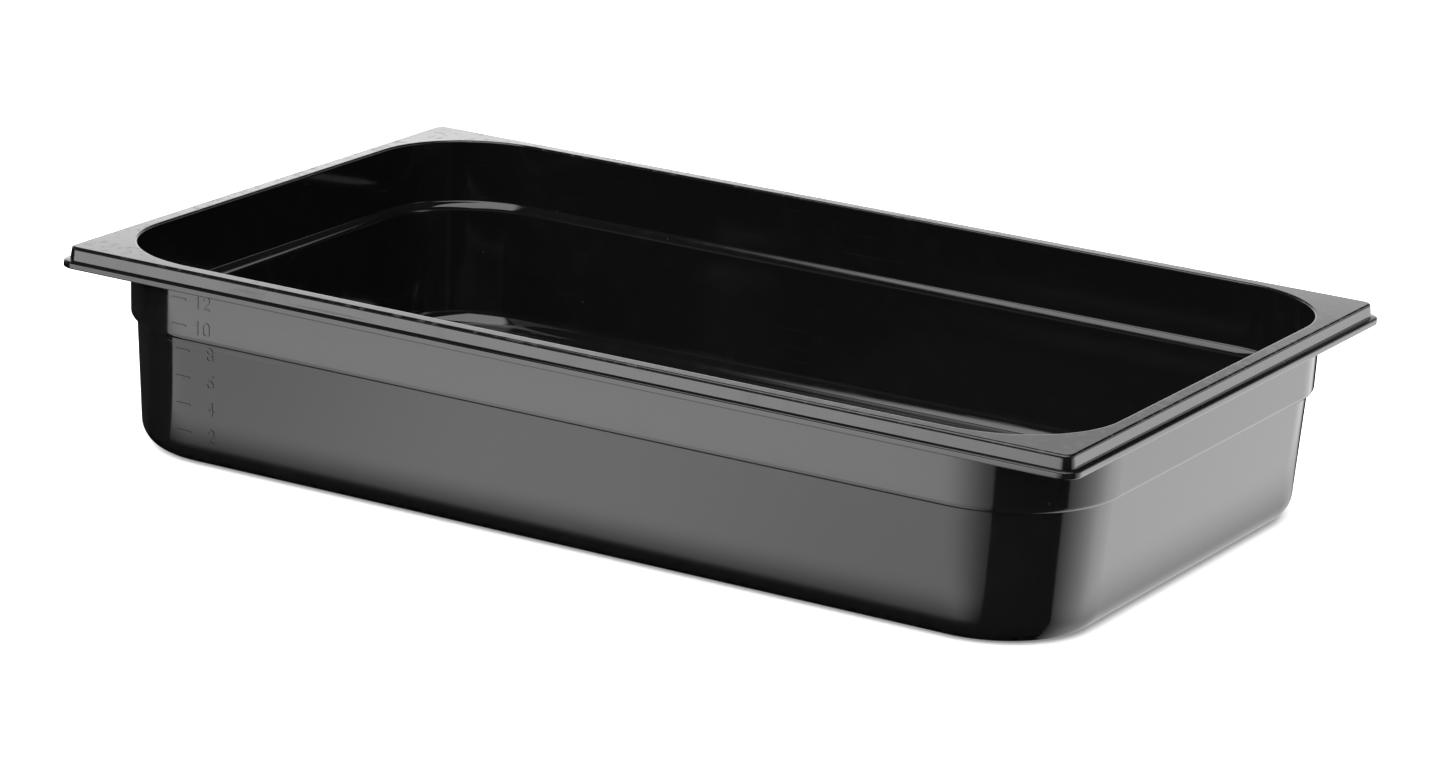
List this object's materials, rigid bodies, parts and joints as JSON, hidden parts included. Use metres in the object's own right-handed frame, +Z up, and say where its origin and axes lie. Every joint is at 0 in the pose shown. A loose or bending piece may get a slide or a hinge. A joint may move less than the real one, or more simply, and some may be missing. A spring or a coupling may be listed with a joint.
{
  "type": "food pan",
  "caption": "Full-size rectangular food pan: open cavity with a stacking shoulder, flat hanging rim and a capacity scale on one wall.",
  "frame": {"origin": "under the middle of the pan, on the surface that it stands on", "axes": "+X along the pan's length, +Y across it from the wall with the capacity scale to the plain wall, +Z up out of the mouth"},
  "size_m": [0.53, 0.325, 0.098],
  "materials": {
    "black_polycarbonate": "polished injection-moulded polycarbonate, black",
    "black_polycarbonate_marks": "the same black polycarbonate, moulded with the wall"
  },
  "bodies": {
    "root": {"pan": "black_polycarbonate", "capacity_marks": "black_polycarbonate_marks"}
  },
  "joints": []
}
